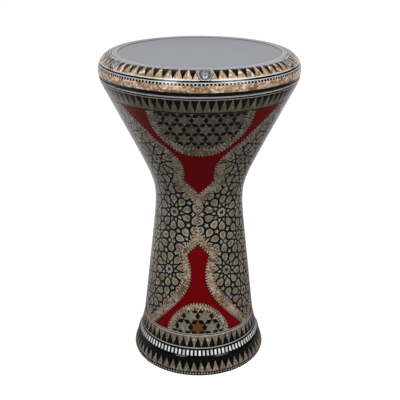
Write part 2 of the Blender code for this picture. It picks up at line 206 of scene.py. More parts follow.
class Plan:  # areas in rising order and the tiles cut in them, over one repeat of an inlay
    def __init__(self, left, right, low, high, scale, step):
        self.left, self.right, self.low, self.high = left, right, low, high
        self.scale = scale  # millimetres to a degree, on average
        self.step = step
        self.loops = []
        self.meanings = []
        self.boxes = []

    def add(self, outline, meaning):
        loop = list(outline)
        turning = sum(a0 * h1 - a1 * h0 for (a0, h0), (a1, h1) in zip(loop, loop[1:] + loop[:1]))
        if abs(turning) < 0.02:  # too thin to be cut
            return None
        self.loops.append(finer(loop if turning > 0 else loop[::-1], self.step, self.scale))
        sides, rises = [a for a, h in loop], [h for a, h in loop]
        self.boxes.append((min(sides), max(sides), min(rises), max(rises)))
        self.meanings.append(meaning)
        return len(self.loops) - 1

    def area(self, look, outline):
        return self.add(outline, ("area", look, None, None, 0.0))

    def tile(self, home, look, outline, centre, turn=0.0):
        return self.add(outline, ("tile", look, home, centre, turn))

    def box(self, low, high):
        left, right = self.left - 1.0, self.right + 1.0  # a degree past the repeat on each side
        return [(left, low), (right, low), (right, high), (left, high)]

    def holds(self, n, a, h):
        left, right, low, high = self.boxes[n]
        return left <= a <= right and low <= h <= high

    def triangles(self, columns, rows):
        rim = []
        for k in range(columns):
            rim.append((self.left + (self.right - self.left) * k / columns, self.low))
        for h in [self.low] + list(rows):
            rim.append((self.right, h))
        for k in range(columns):
            rim.append((self.right - (self.right - self.left) * k / columns, self.high))
        for h in [self.high] + list(reversed(rows)):
            rim.append((self.left, h))
        loops = [rim] + self.loops
        points, faces = [], []
        for loop in loops:
            faces.append(list(range(len(points), len(points) + len(loop))))
            points += [Vector((a * self.scale, h)) for a, h in loop]
        for n, h in enumerate(rows):
            for k in range(1, columns):
                shift = 0.5 * (n % 2)
                a = self.left + (self.right - self.left) * (k + shift - 0.25) / columns
                points.append(Vector((a * self.scale, h)))
        found, _, corners, _, _, homes = delaunay_2d_cdt(points, [], faces, 1, 0.002)
        flat = [(p.x / self.scale, p.y) for p in found]
        for face, inside in zip(corners, homes):
            if 0 not in inside:
                continue
            a, h = (sum(flat[v][k] for v in face) / 3 for k in (0, 1))
            inside = [n - 1 for n in inside if n > 0 and self.holds(n - 1, a, h)]
            areas = [n for n in inside if self.meanings[n][0] == "area"]
            home = max(areas) if areas else None
            tiles = [n for n in inside if self.meanings[n][0] == "tile" and self.meanings[n][2] == home]
            chosen = max(tiles) if tiles else home
            if chosen is None or self.meanings[chosen][1] is None:
                continue
            yield [flat[v] for v in face], chosen


def tintOf(a, h):  # one steady number from 0 to 1 for each tile
    key = (round(a * 5) % 1800) * 0.7331 + round(h * 2) * 1.9177
    value = math.sin(key) * 43758.5453
    return value - math.floor(value)


class Skin:  # one look of an inlay, gathered as a mesh with its normals and its unrolled map
    def __init__(self):
        self.points, self.faces, self.known = [], [], {}
        self.normals, self.cuts, self.map = [], [], []

    def corner(self, key, point):
        if key not in self.known:
            self.known[key] = len(self.points)
            self.points.append(point)
        return self.known[key]


# cuts a plan and lays it round the drum as often as it fits
def lay(plan, columns, rows, point, normal, skins, mirror=1):
    span = plan.right - plan.left
    repeats = round(360.0 / span)
    for face, chosen in plan.triangles(columns, rows):
        kind, look, home, centre, turn = plan.meanings[chosen]
        middle = sum(h for a, h in face) / 3
        (a0, h0), (a1, h1), (a2, h2) = face
        if ((a1 - a0) * (h2 - h0) - (a2 - a0) * (h1 - h0)) * mirror < 0:
            face = face[::-1]
        skin = skins.setdefault(look, Skin())
        for k in range(repeats):
            around = span * k
            corners = []
            for a, h in face:
                whole = a + around
                corners.append(skin.corner((round(whole * 500) % 180000, round(h * 500)), point(whole, h)))
            if len(set(corners)) < 3:
                continue
            skin.faces.append(corners)
            tint = tintOf(centre[0] + around, centre[1]) if centre else 0.5
            for a, h in face:
                side = 1.0 if middle > h else -1.0
                skin.normals.append(normal(a + around, h, side))
                if centre:
                    across = (a - centre[0]) * plan.localScale(centre[1])
                    along = (h - centre[1]) * plan.riseScale
                    c, s = math.cos(math.radians(turn)), math.sin(math.radians(turn))
                    skin.cuts.append((across * c + along * s, along * c - across * s, tint))
                else:
                    skin.cuts.append(((a + around) * plan.scale, h * plan.riseScale, 0.5))
                skin.map.append(((a + around - plan.left) / 360.0, (h - plan.low) / (plan.high - plan.low)))


def asObject(name, skin, material, bodyName, slot, stands):
    mesh = bpy.data.meshes.new(name)
    mesh.from_pydata(skin.points, [], skin.faces)
    mesh.update()
    for polygon in mesh.polygons:
        polygon.use_smooth = True
    chart = mesh.uv_layers.new(name="OFBake")
    rises = [v for u, v in skin.map]
    lowV, highV = min(rises), max(rises)
    for loop, (u, v) in zip(chart.data, skin.map):
        loop.uv = (u, (v - lowV) / max(highV - lowV, 1e-6))
    cut = mesh.attributes.new("cut", "FLOAT_VECTOR", "CORNER")
    for loop, value in zip(cut.data, skin.cuts):
        loop.vector = value
    mesh.normals_split_custom_set(skin.normals)
    made = bpy.data.objects.new(name, mesh)
    scene.collection.objects.link(made)
    mesh.materials.append(material)
    finishPiece(made, bodyName, slot, stands)


def finishPiece(made, bodyName, slot, stands):
    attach(made, bodyName)
    if stands:
        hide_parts(*stands)


# materials
class Wire:  # an output of a node, and the sums that a shader needs
    def __init__(self, tree, socket):
        self.tree = tree
        self.socket = socket

    def node(self, kind, settings=None, values=None, output=0):
        made = self.tree.nodes.new("ShaderNode" + kind)
        for name, value in (settings or {}).items():
            if name == "stops":
                ramp = made.color_ramp
                for place, colour in value[1:-1]:
                    ramp.elements.new(place).color = (*colour, 1.0)
                ramp.elements[0].position, ramp.elements[0].color = value[0][0], (*value[0][1], 1.0)
                ramp.elements[-1].position, ramp.elements[-1].color = value[-1][0], (*value[-1][1], 1.0)
            else:
                setattr(made, name, value)
        for name, value in (values or {}).items():
            socket = made.inputs[name]
            if isinstance(value, Wire):
                self.tree.links.new(value.socket, socket)
            elif isinstance(value, tuple) and len(value) == 3 and len(socket.default_value) == 4:
                socket.default_value = (*value, 1.0)
            else:
                socket.default_value = value
        return Wire(self.tree, made.outputs[output])

    def sum(self, operation, other, swapped=False):
        first, second = (other, self) if swapped else (self, other)
        return self.node("Math", {"operation": operation}, {0: first, 1: second})

    def __add__(self, other):
        return self.sum("ADD", other)

    __radd__ = __add__

    def __mul__(self, other):
        return self.sum("MULTIPLY", other)

    __rmul__ = __mul__

    def __sub__(self, other):
        return self.sum("SUBTRACT", other)

    def __rsub__(self, other):
        return self.sum("SUBTRACT", other, swapped=True)

    def fraction(self):
        return self.node("Math", {"operation": "FRACT"}, {0: self})

    def above(self, edge):
        return self.sum("GREATER_THAN", edge)

    def ramp(self, *stops):
        return self.node("ValToRGB", {"stops": stops}, {"Fac": self})

    def mix(self, first, second):  # this wire says how much of the second colour shows
        return self.node("Mix", {"data_type": "RGBA"}, {"Factor": self, 6: first, 7: second}, output=2)

    def tinted(self, cast, share):  # this colour times another
        kind = {"data_type": "RGBA", "blend_type": "MULTIPLY"}
        return self.node("Mix", kind, {"Factor": share, 6: self, 7: cast}, output=2)


def noise(place, scale, detail, **more):
    return place.node("TexNoise", {}, {"Vector": place, "Scale": scale, "Detail": detail, **more})


def newLook(name, **plain):  # a material, its start wire and its shader
    made = bpy.data.materials.new(name)
    made.use_nodes = True
    tree = made.node_tree
    shader = tree.nodes["Principled BSDF"]
    for socket, value in plain.items():
        shader.inputs[socket.replace("_", " ")].default_value = value
    start = Wire(tree, None)
    return made, start, shader


def feed(start, shader, **wires):
    for socket, wire in wires.items():
        start.tree.links.new(wire.socket, shader.inputs[socket.replace("_", " ")])


def bumped(start, shader, height, strength, distance):
    made = start.node("Bump", {}, {"Strength": strength, "Distance": distance, "Height": height})
    feed(start, shader, Normal=made)


def splitVector(wire):
    parts = wire.tree.nodes.new("ShaderNodeSeparateXYZ")
    wire.tree.links.new(wire.socket, parts.inputs[0])
    return [Wire(wire.tree, parts.outputs[k]) for k in range(3)]


def joinVector(start, x, y, z):
    return start.node("CombineXYZ", {}, {0: x, 1: y, 2: z})


# shell: streaked along each tile, with a tint and grain, and now and then a painted highlight glint
def pearlLook(name, deep, middle, pale, paintedGlint, grain=(0.30, 0.16), core=None, specular=0.22, paintedGlints=0.06,
              grout=None, coat=0.2, fine=0.28):
    made, start, shader = newLook(name, IOR=1.5, Specular_IOR_Level=specular, Coat_Weight=coat,
                                  Coat_Roughness=0.06)
    cut = start.node("Attribute", {"attribute_name": "cut"}, output=1)
    x, y, tint = splitVector(cut)
    own = joinVector(start, x * grain[0] + tint * 61.0, y * grain[1] + tint * 23.0, tint * 9.0)
    streak = noise(own, 1.0, 4.0, Roughness=0.62, Distortion=0.9)
    speck = noise(own, 5.0, 2.0, Roughness=0.6)
    shade = streak * (1.0 - fine) + speck * fine
    tone = shade.ramp((0.30, deep), (0.50, middle), (0.68, pale))
    hue = (tint * 7.0).fraction().ramp((0.0, (1.12, 0.98, 0.90)), (0.35, (0.95, 1.0, 1.0)),
                                       (0.6, (1.05, 0.97, 1.03)), (0.8, (0.92, 1.04, 0.92)),
                                       (1.0, (1.08, 1.0, 0.86)))
    tone = tone.tinted(hue, 0.75)
    brightness = (tint * 13.0).fraction() * 0.5 + 0.75
    tone = start.node("VectorMath", {"operation": "SCALE"}, {0: tone, "Scale": brightness})
    if core:
        coreColour, coreAcross, coreAlong, coreShift = core
        over = (y - coreShift) * (1.0 / coreAlong)
        wide = x * (1.0 / coreAcross)
        inner = (1.0 - (wide * wide + over * over)) + (speck - 0.5) * 1.6
        mask = start.node("MapRange", {"interpolation_type": "SMOOTHSTEP"},
                          {0: inner, 1: 0.0, 2: 0.75, 3: 0.0, 4: 0.8})
        tone = mask.mix(tone, coreColour)
    if grout:
        groutColour, groutScale, groutWidth = grout
        cells = {"Vector": own, "Scale": groutScale}
        joints = start.node("TexVoronoi", {"feature": "DISTANCE_TO_EDGE"}, cells)
        filled = start.node("MapRange", {}, {0: joints, 1: 0.0, 2: groutWidth, 3: 0.75, 4: 0.0})
        tone = filled.mix(tone, groutColour)
        shards = splitVector(start.node("TexVoronoi", {}, cells, output=1))
        shard = shards[0].ramp((0.0, (0.45, 0.36, 0.26)), (0.35, (0.95, 0.80, 0.62)),
                               (0.7, (1.25, 1.20, 1.10)), (1.0, (1.7, 1.6, 1.55)))
        tone = tone.tinted(shard, 0.8)
    # painted highlight: a few random spots take the near-white glint colour
    paintedGlintMask = noise(own, 2.2, 1.0).above(0.70 - paintedGlints)
    tone = (paintedGlintMask * 0.55).mix(tone, paintedGlint)
    feed(start, shader, Base_Color=tone, Roughness=speck * 0.25 + 0.12)
    bumped(start, shader, streak, 0.10, 0.0003)
    return made


def lacquerLook(name, colour, deeper, roughness, specular, coat=0.0):
    made, start, shader = newLook(name, IOR=1.5, Specular_IOR_Level=specular, Coat_Weight=coat,
                                  Coat_Roughness=0.05)
    place = start.node("TexCoord", {}, output=3)
    cloud = noise(place, 28.0, 3.0, Roughness=0.55)
    ripple = noise(place, 900.0, 2.0)
    feed(start, shader, Base_Color=cloud.mix(colour, deeper), Roughness=ripple * 0.10 + roughness)
    bumped(start, shader, cloud + ripple * 0.05, 0.05, 0.0006)
    return made


def metalLook(name, colour, roughness, scale, worn):
    made, start, shader = newLook(name, Metallic=1.0)
    place = start.node("TexCoord", {}, output=3)
    cast = noise(place, scale, 5.0, Roughness=0.7)
    broad = noise(place, scale * 0.06, 2.0)
    tone = (cast * 0.5 + broad * 0.5).mix(worn, colour)
    feed(start, shader, Base_Color=tone, Roughness=cast * 0.25 + roughness)
    bumped(start, shader, cast, 0.25, 0.0002)
    return made


def filmLook(name):  # matt polyester with a fine grain
    made, start, shader = newLook(name, Specular_IOR_Level=0.35)
    place = start.node("TexCoord", {}, output=3)
    fine = noise(place, 1500.0, 2.0, Roughness=0.7)
    cloud = noise(place, 14.0, 2.0)
    tone = (fine * 0.8 + cloud * 0.2).mix((0.190, 0.193, 0.222), (0.253, 0.257, 0.291))
    feed(start, shader, Base_Color=tone, Roughness=fine * 0.2 + 0.42)
    bumped(start, shader, fine, 0.15, 0.0001)
    return made


looks = {
    # deepest, middle and palest shell, then its painted highlight glints
    "petal": pearlLook(
        "petalShell", (0.17, 0.13, 0.09), (0.29, 0.25, 0.19), (0.42, 0.39, 0.33), (0.62, 0.60, 0.60),
        core=((0.16, 0.10, 0.055), 3.4, 5.0, 0.8),
    ),
    "light": pearlLook(
        "paleShell", (0.22, 0.20, 0.16), (0.32, 0.30, 0.25), (0.44, 0.43, 0.38), (0.64, 0.66, 0.64),
    ),
    "star": pearlLook(
        "starShell", (0.15, 0.11, 0.075), (0.25, 0.205, 0.155), (0.35, 0.31, 0.26), (0.55, 0.55, 0.53),
    ),
    # a darker copy of the star shell for the upper medallion: painted shade under the ring
    "paintedShadeStar": pearlLook(
        "paintedShadeStarShell", (0.070, 0.050, 0.030), (0.125, 0.102, 0.070), (0.19, 0.165, 0.125),
        (0.36, 0.36, 0.33),
    ),
    "ribbon": pearlLook(
        "ribbonShell", (0.11, 0.065, 0.030), (0.24, 0.170, 0.105), (0.38, 0.31, 0.23), (0.90, 0.84, 0.82),
        grain=(0.15, 0.15), grout=((0.50, 0.43, 0.34), 0.75, 0.05),
    ),
    # a darker copy of the ribbon shell for the upper panel: painted shade under the ring
    "paintedShadeRibbon": pearlLook(
        "paintedShadeRibbonShell", (0.095, 0.062, 0.037), (0.195, 0.152, 0.107), (0.32, 0.28, 0.22),
        (0.60, 0.56, 0.54),
        grain=(0.15, 0.15), grout=((0.36, 0.32, 0.26), 0.75, 0.05),
    ),
    "mosaic": pearlLook(
        "mosaicShell", (0.18, 0.090, 0.034), (0.40, 0.260, 0.145), (0.66, 0.54, 0.41), (1.0, 0.93, 0.93),
        grain=(0.13, 0.13), grout=((0.52, 0.42, 0.32), 1.70, 0.06), paintedGlints=0.10, coat=0.22, fine=0.16,
    ),
    "rimWedge": pearlLook(
        "rimWedgeShell", (0.15, 0.080, 0.034), (0.36, 0.235, 0.125), (0.56, 0.45, 0.32), (1.0, 0.90, 0.93),
        grain=(0.15, 0.08), paintedGlints=0.11, coat=0.22, fine=0.12,
    ),
    "wedge": pearlLook(
        "wedgeShell", (0.088, 0.058, 0.036), (0.185, 0.142, 0.100), (0.32, 0.275, 0.215),
        (0.80, 0.75, 0.78),
        grain=(0.26, 0.13),
    ),
    # a darker copy of the wedge shell, without glints, for the band under the ring's overhang: painted
    # shade
    "bowlWedge": pearlLook(
        "bowlWedgeShell", (0.08, 0.055, 0.030), (0.16, 0.125, 0.08), (0.26, 0.22, 0.16), (0.6, 0.55, 0.55),
        grain=(0.26, 0.13), paintedGlints=0.0,
    ),
    "key": pearlLook(
        "keyShell", (0.66, 0.66, 0.65), (0.84, 0.84, 0.84), (0.95, 0.95, 0.96), (1.0, 1.0, 1.0),
        specular=0.4,
    ),
    "line": pearlLook(
        "lineShell", (0.34, 0.32, 0.27), (0.46, 0.44, 0.39), (0.58, 0.57, 0.52), (0.75, 0.75, 0.74),
    ),
    "rimLine": pearlLook(
        "rimLineShell", (0.48, 0.46, 0.42), (0.60, 0.59, 0.55), (0.70, 0.69, 0.67), (0.9, 0.9, 0.9),
        coat=0.3,
    ),
    "amber": pearlLook(
        "amberTile", (0.11, 0.040, 0.004), (0.16, 0.060, 0.006), (0.20, 0.085, 0.010), (0.26, 0.13, 0.03),
        paintedGlints=0.0,
    ),
    "black": lacquerLook(
        "blackLacquer", (0.0020, 0.0021, 0.0024), (0.0042, 0.0043, 0.0048), 0.12, 0.08,
        coat=0.2,
    ),
    "rimBlack": lacquerLook(
        "rimLacquer", (0.0030, 0.0031, 0.0035), (0.0055, 0.0056, 0.0062), 0.06, 0.10,
        coat=0.2,
    ),
    "red": lacquerLook(
        "redLacquer", (0.142, 0.0002, 0.0008), (0.190, 0.0005, 0.0018), 0.10, 0.04,
        coat=0.14,
    ),
    "garnet": lacquerLook("garnetBead", (0.050, 0.006, 0.005), (0.09, 0.010, 0.008), 0.15, 0.3),
    "aluminium": metalLook("castAluminium", (0.62, 0.62, 0.63), 0.34, 420.0, (0.42, 0.42, 0.43)),
    "steel": metalLook("screwSteel", (0.46, 0.47, 0.47), 0.30, 300.0, (0.30, 0.31, 0.31)),
    "lip": metalLook("lipMetal", (0.40, 0.40, 0.42), 0.40, 500.0, (0.28, 0.28, 0.30)),
    "film": filmLook("greyFilm"),
}
print("materials ready")


# the lattice of ten-petal rosettes, in millimetres round each centre
rosette = {
    "side": 53.2,  # of the rhombs between rosette centres
    "angle": 36.0,
    "centreHeight": 194.0,  # of a rosette on a sheet's middle line
    "vertex": 27.97,
    "edge": 26.6,
    "starRadius": 3.95,
    "starWaist": 1.62,
    "discRadius": 7.3,
    "discWaist": 5.4,
    "petalCircle": 4.2,  # of the small black cuts in the disc
    "coreRadius": 3.0,
    "beadRadius": 2.1,
    "strap": 0.85,
    "strapReach": 7.0,
}
petalHalf = (  # reach from the centre, and half the width there
    (12.6, 0.0), (14.4, 1.9), (16.4, 3.4), (18.5, 4.4), (20.5, 4.75), (22.4, 4.5), (24.0, 3.6), (25.2, 2.0),
)
petalMiddle = 19.9
kiteCorners = ((15.0, 0.0), (10.0, 1.85), (8.9, 0.0), (10.0, -1.85))
kiteMiddle = 11.0
cutCorners = ((-0.4, 0.0), (0.2, -0.8), (1.3, 0.0), (0.2, 0.8))


def mirrored(half):
    return list(half) + [(r, -w) for r, w in reversed(half) if w > 0.0]


def spun(points, degrees, centre=(0.0, 0.0)):
    c, s = math.cos(math.radians(degrees)), math.sin(math.radians(degrees))
    return [(centre[0] + x * c - y * s, centre[1] + x * s + y * c) for x, y in points]


def starShape(radius, waist, points, degrees, centre):
    corners = []
    for k in range(points):
        corners.append((radius, 0.0, 360.0 * k / points))
        corners.append((waist, 0.0, 360.0 * (k + 0.5) / points))
    return [spun([(r, w)], degrees + turn, centre)[0] for r, w, turn in corners]


def disc(radius, count, centre):
    return [spun([(radius, 0.0)], 360.0 * k / count, centre)[0] for k in range(count)]


def rolled(points, middle):  # from millimetres across and along the outline to degrees and height
    found = []
    for x, y in points:
        z = heightAt(max(0.5, min(y, lengths[-1] - 0.5)))
        found.append((middle + math.degrees(x / outside(z)), z))
    return found


# cuts one sheet's tiles, with x across from its middle line and y along the outline
def rosetteSheet(plan, home, middle, low, high):
    pitch = rosette["side"] * math.sin(math.radians(rosette["angle"]))
    rise = rosette["side"] * math.cos(math.radians(rosette["angle"]))
    base = lengthAt(rosette["centreHeight"])

    def cutTile(look, points, centre, turn=0.0):
        laid = rolled(points, middle)
        if max(a for a, z in laid) < plan.left or min(a for a, z in laid) > plan.right:
            return
        if max(z for a, z in laid) < low or min(z for a, z in laid) > high:
            return
        plan.tile(home, look, laid, rolled([centre], middle)[0], turn)

    found = set()  # stars that a neighbour has already cut
    for column in range(-4, 5):
        for row in range(-6, 7):
            if (column + row) % 2:
                continue
            cx, cy = column * pitch, base + row * rise
            if cy < lengthAt(low) - 60 or cy > lengthAt(high) + 60:
                continue
            for k in range(10):
                turn = 18.0 + 36.0 * k
                across, ahead = math.cos(math.radians(turn)), math.sin(math.radians(turn))
                centre = (cx + petalMiddle * across, cy + petalMiddle * ahead)
                cutTile("petal", spun(mirrored(petalHalf), turn, (cx, cy)), centre, turn - 90.0)
                spoke = 36.0 * k
                kite = spun([(kiteMiddle, 0.0)], spoke, (cx, cy))[0]
                cutTile("light", spun(kiteCorners, spoke, (cx, cy)), kite, spoke - 90.0)
                star = spun([(rosette["vertex"], 0.0)], spoke, (cx, cy))[0]
                key = (round(star[0] / 2.0), round(star[1] / 2.0))
                if not any((key[0] + i, key[1] + j) in found for i in (-1, 0, 1) for j in (-1, 0, 1)):
                    found.add(key)
                    shape = starShape(rosette["starRadius"], rosette["starWaist"], 5, spoke + 180.0, star)
                    cutTile("light", shape, star, spoke)
            for side in (1, -1):  # petals of the hourglass above and below
                shape = [(cx + w, cy + side * (2 * rosette["edge"] - r)) for r, w in mirrored(petalHalf)]
                centre = (cx, cy + side * (2 * rosette["edge"] - petalMiddle))
                cutTile("petal", shape, centre, 90.0 - side * 90.0 + 180.0)
            waist = (cx, cy + rise)
            for lean in (54.0, 126.0):
                reach, half = rosette["strapReach"], rosette["strap"]
                bar = [(-reach, -half), (reach, -half), (reach, half), (-reach, half)]
                cutTile("black", spun(bar, lean, waist), waist)
            rose = starShape(rosette["discRadius"], rosette["discWaist"], 10, 18.0, (cx, cy))
            cutTile("light", rose, (cx, cy))
            for k in range(10):
                dot = spun([(rosette["petalCircle"], 0.0)], 36.0 * k, (cx, cy))[0]
                cutTile("black", spun(cutCorners, 36.0 * k, dot), dot)
            cutTile("black", disc(rosette["coreRadius"], 10, (cx, cy)), (cx, cy))
            cutTile("garnet", disc(rosette["beadRadius"], 10, (cx, cy)), (cx, cy))


# right halves of the panels' outlines, in degrees from their middle and height
# each stretch is smooth and stretches meet in a corner
upperRibbonOuter = (
    ((62.5, 391.5), (58.6, 384.0), (51.7, 371.0), (42.2, 354.0), (32.6, 339.0), (27.6, 330.0),
     (24.1, 320.0), (23.5, 307.5), (25.7, 292.0), (28.2, 284.0)),
    ((28.2, 284.0), (19.0, 273.0), (10.8, 263.5), (3.2, 252.0), (0.0, 243.5)),
)
upperRibbonInner = (
    ((53.0, 394.5), (51.9, 390.5), (44.5, 374.5), (37.9, 362.5), (33.2, 351.5), (25.5, 340.0),
     (20.2, 330.5), (16.2, 320.0), (14.2, 309.5), (14.7, 299.0), (15.7, 289.0)),
    ((15.7, 289.0), (9.7, 281.0), (4.7, 275.0), (0.0, 267.5)),
)
medallionOuter = (
    ((33.5, 396.0), (33.5, 376.5), (31.5, 362.5), (27.2, 351.5), (21.7, 342.5), (15.9, 335.0),
     (8.7, 331.5), (0.0, 330.5)),
)
medallionInner = (
    ((27.5, 396.0), (26.9, 374.5), (23.7, 359.0), (17.7, 351.5), (12.5, 346.5), (7.0, 343.5),
     (0.0, 343.0)),
)
lowerRibbonOuter = (
    ((63.0, 57.5), (59.3, 63.8), (44.2, 86.5), (33.1, 105.0), (28.5, 113.0), (23.0, 124.0),
     (18.6, 136.0), (16.5, 149.0), (17.7, 160.0), (20.6, 172.0), (25.0, 182.0)),
    ((25.0, 182.0), (16.0, 189.5), (9.5, 197.5), (3.0, 209.0), (0.0, 219.5)),
)
lowerRibbonInner = (
    ((55.0, 56.0), (51.3, 62.5), (36.5, 84.0), (28.0, 97.0), (21.4, 108.0), (15.8, 119.0),
     (12.2, 129.0), (9.5, 141.0), (9.3, 153.5), (11.1, 166.0), (14.3, 178.3)),
    ((14.3, 178.3), (6.0, 188.7), (0.0, 196.0)),
)
archOuter = (
    ((33.0, 56.0), (32.1, 67.3), (30.3, 75.2), (25.2, 87.0), (16.0, 99.3), (6.5, 106.0),
     (0.0, 107.0)),
)
archInner = (
    ((26.5, 56.0), (25.0, 70.0), (20.0, 81.5), (13.0, 91.5), (6.0, 95.2), (0.0, 96.5)),
)
panel = {
    "border": 2.1,  # width of the dotted borders
    "dotPitch": 4.4,
    "dotShare": 0.54,
    "blockPitch": 8.5,
    "blockDepth": 16.0,
    "lowerShrink": 1.3,
    "sheetTurn": -0.8,
}


def halfPath(stretches):
    found = []
    for stretch in stretches:
        found += smoothPath(stretch)[:-1]
    return found + [stretches[-1][-1]]


def beside(points, distance):  # an outline moved to its left by a distance in millimetres
    moved = []
    for k, (a, z) in enumerate(points):
        scale = math.radians(outside(z))
        sides = []
        for first, second in ((k - 1, k), (k, k + 1)):
            if first < 0 or second >= len(points):
                continue
            da = (points[second][0] - points[first][0]) * scale
            dz = lengthAt(points[second][1]) - lengthAt(points[first][1])
            size = math.hypot(da, dz)
            sides.append((-dz / size, da / size))
        across = sum(s[0] for s in sides), sum(s[1] for s in sides)
        size = math.hypot(*across)
        lean = max(0.45, (across[0] * sides[0][0] + across[1] * sides[0][1]) / size)
        push = distance / lean / size
        length = lengthAt(z) + across[1] * push
        moved.append((a + across[0] * push / scale, heightAt(max(0.3, min(length, lengths[-1] - 0.3)))))
    return moved


def walk(points, pitch):  # places at equal steps along a path
    found = [points[0]]
    left = pitch
    for (a0, z0), (a1, z1) in zip(points, points[1:]):
        scale = math.radians(outside(0.5 * (z0 + z1)))
        size = math.hypot((a1 - a0) * scale, lengthAt(z1) - lengthAt(z0))
        while size > left:
            part = left / size
            a0, z0 = a0 + (a1 - a0) * part, z0 + (z1 - z0) * part
            size -= left
            found.append((a0, z0))
            left = pitch
        left -= size
    return found


def hull(points):  # the tight outline round a few points
    ordered = sorted(points)
    chains = []
    for line in (ordered, ordered[::-1]):
        chain = []
        for p in line:
            while len(chain) > 1 and turnAt(chain[-2], chain[-1], p) <= 0.0:
                chain.pop()
            chain.append(p)
        chains += chain[:-1]
    return chains


def turnAt(p, q, s):
    return (q[0] - p[0]) * (s[1] - p[1]) - (q[1] - p[1]) * (s[0] - p[0])


# tiles side by side along a path, between two distances to its left
def strip(plan, home, look, path, near, far, pitch, share, skew=0.0):
    parts = 4
    fine = walk(path, pitch / parts)
    inner, outer = beside(fine, near), beside(fine, far)
    cover = max(1, round(parts * share))
    shift = round(parts * skew)
    for k in range(0, len(fine) - cover - abs(shift), parts):
        low = inner[k:k + cover + 1]
        high = outer[k + shift:k + shift + cover + 1]
        centre = fine[k + cover // 2]
        plan.tile(home, look, hull(low + high), centre)


def closed(half):  # the whole outline from its right half, which runs from the edge to the middle
    return half + [(-a, z) for a, z in reversed(half[:-1])]


# ribbon, red ground and framed medallion, from the outside in, where down is 1 if the tip points down
def panels(plan, outer, inner, frameOuter, frameInner, down, shell, starShell):
    side = -down
    width = panel["border"]
    ribbonPath = beside(closed(halfPath(outer)), -side * width)
    redPath = closed(halfPath(inner))
    if down < 0:
        redPath = beside(redPath, side * panel["lowerShrink"])
    framePath = closed(halfPath(frameOuter))
    starPath = closed(halfPath(frameInner))
    dots = panel["dotPitch"], 1 - panel["dotShare"]
    blocks = side * panel["blockDepth"], panel["blockPitch"], 1.0
    ribbonArea = plan.area("black", ribbonPath)
    strip(plan, ribbonArea, "light", ribbonPath, -0.2, side * width, *dots)
    pearlArea = plan.area(shell, beside(ribbonPath, side * width))
    strip(plan, pearlArea, shell, ribbonPath, 0.0, *blocks, skew=0.25)
    borderArea = plan.area("black", beside(redPath, -side * width))
    strip(plan, borderArea, "light", redPath, -side * width, side * 0.2, *dots)
    plan.area("red", redPath)
    frameBorder = plan.area("black", framePath)
    strip(plan, frameBorder, "light", framePath, -0.2, side * width, *dots)
    frameArea = plan.area(shell, beside(framePath, side * width))
    strip(plan, frameArea, shell, framePath, 0.0, *blocks, skew=0.25)
    starBorder = plan.area("black", beside(starPath, -side * width))
    strip(plan, starBorder, "light", starPath, -side * width, side * 0.2, *dots)
    return plan.area(starShell, starPath)


stars = {
    "upperPitch": 17.8,
    "upperRow": 385.0,
    "upperTurn": -1.1,
    "lowerPitch": 20.0,
    "lowerRow": 69.5,
    "lowerTurn": 0.0,
}


# six-point stars that share their tips, with black rhombs between them
def starLattice(plan, home, shell, turn, pitch, rowHeight, low, high, amber=()):
    radius = pitch / math.sqrt(3.0)
    rise = pitch * math.sqrt(3.0) / 2.0
    base = lengthAt(rowHeight)
    for row in range(-5, 6):
        for column in range(-5, 6):
            cx, cy = (column + 0.5 * (row % 2)) * pitch, base + row * rise
            if not lengthAt(low) - 20 < cy < lengthAt(high) + 20:
                continue
            centre = rolled([(cx, cy)], turn)[0]
            look = "amber" if (column, row) in amber else shell
            star = starShape(radius, radius / math.sqrt(3.0), 6, 90.0, (cx, cy))
            plan.tile(home, look, rolled(star, turn), centre)
            for lean in (0.0, 60.0, 120.0):
                middle = spun([(0.5 * pitch, 0.0)], lean, (cx, cy))[0]
                half = 0.53 * radius
                rhomb = [(0.0, -half), (0.70 * half, 0.0), (0.0, half), (-0.70 * half, 0.0)]
                plan.tile(home, "black", rolled(spun(rhomb, lean, middle), turn), rolled([middle], turn)[0])


print("patterns drawn")


# the body's inlay
bands = {
    "columns": 44,  # of the net between the tiles, in each third
    "flareCount": 57,
    "keyCount": 96,
    "wedgeCount": 51,
    "bowlCount": 81,
    "dotCount": 150,
    "blunt": 0.03,  # half the width of a tooth's tip, as a share of the pitch
}
seam = {  # the two files of small chips where the ribbons cross at the waist
    "low": 214.0,
    "high": 250.0,
    "half": 1.9,
    "first": 216.5,
    "pitch": 4.3,
    "count": 8,
    "chipTurn": 0.95,
    "chipWide": 0.75,
    "chipHigh": 0.85,
}


def box(middle, wide, low, high):
    return [(middle - wide, low), (middle + wide, low), (middle + wide, high), (middle - wide, high)]


def tooth(middle, wide, blunt, foot, tip):
    return [(middle - wide, foot), (middle + wide, foot), (middle + blunt, tip), (middle - blunt, tip)]


# a row of triangles, each as wide at its foot as its share of the pitch
def toothed(plan, home, look, count, foot, tip, share=1.0, turn=0.0):
    pitch = 360.0 / count
    for k in range(math.floor(plan.left / pitch) - 1, math.ceil(plan.right / pitch) + 2):
        middle = pitch * (k + 0.5) + turn
        outline = tooth(middle, 0.5 * pitch * share, bands["blunt"] * pitch, foot, tip)
        plan.tile(home, look, outline, (middle, 0.5 * (foot + tip)))


def dotted(plan, home, look, count, low, high, share):
    pitch = 360.0 / count
    for k in range(math.floor(plan.left / pitch) - 1, math.ceil(plan.right / pitch) + 2):
        middle = pitch * (k + 0.5)
        plan.tile(home, look, box(middle, 0.5 * pitch * share, low, high), (middle, 0.5 * (low + high)))


def layBands(plan, table):
    for look, low, high, *pattern in table:
        home = plan.area(look, plan.box(low, high))
        if pattern:
            pattern[0](plan, home, *pattern[1:])


